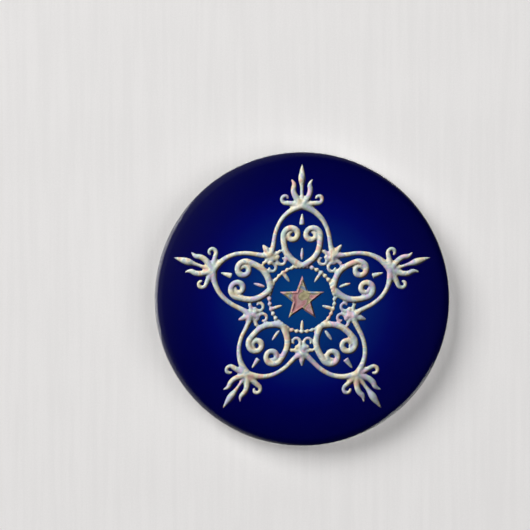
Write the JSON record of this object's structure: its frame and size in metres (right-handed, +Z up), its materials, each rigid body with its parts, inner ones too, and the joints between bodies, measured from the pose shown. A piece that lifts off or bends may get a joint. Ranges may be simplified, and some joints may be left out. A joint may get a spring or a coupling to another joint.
{
  "type": "button badge",
  "caption": "Round domed button badge: clear film and printed paper wrapped over a tinplate shell, crimped to a stamped back with a lanced catch and a spring pin that swings open on its coil",
  "frame": {"origin": "centre of the back rim, on the plane that the rolled rim and the crest of the back plate lie on", "axes": "+Y out of the back, so the printed face looks along -Y; +Z up as the badge is worn; +X towards the catch"},
  "size_m": [0.0572, 0.0081, 0.0572],
  "materials": {
    "film": "clear gloss polyester film",
    "print": "coated paper printed deep blue, with a pearly star of scrollwork",
    "tinplate": "rolled tinplate with fine straight grain",
    "wire": "bright nickel-plated spring wire"
  },
  "bodies": {
    "badge": {"clear_film": "film", "printed_paper": "print", "front_shell": "tinplate", "back_plate": "tinplate", "pin_anchor": "wire"},
    "pin": {"pin": "wire"}
  },
  "joints": [
    {"name": "pin_hinge", "type": "hinge", "parent": "badge", "child": "pin", "pos_m": [-0.0132, -0.00013, 0.00758], "axis": [0, -0.9063, 0.4226], "range_deg": [0, 60]}
  ]
}
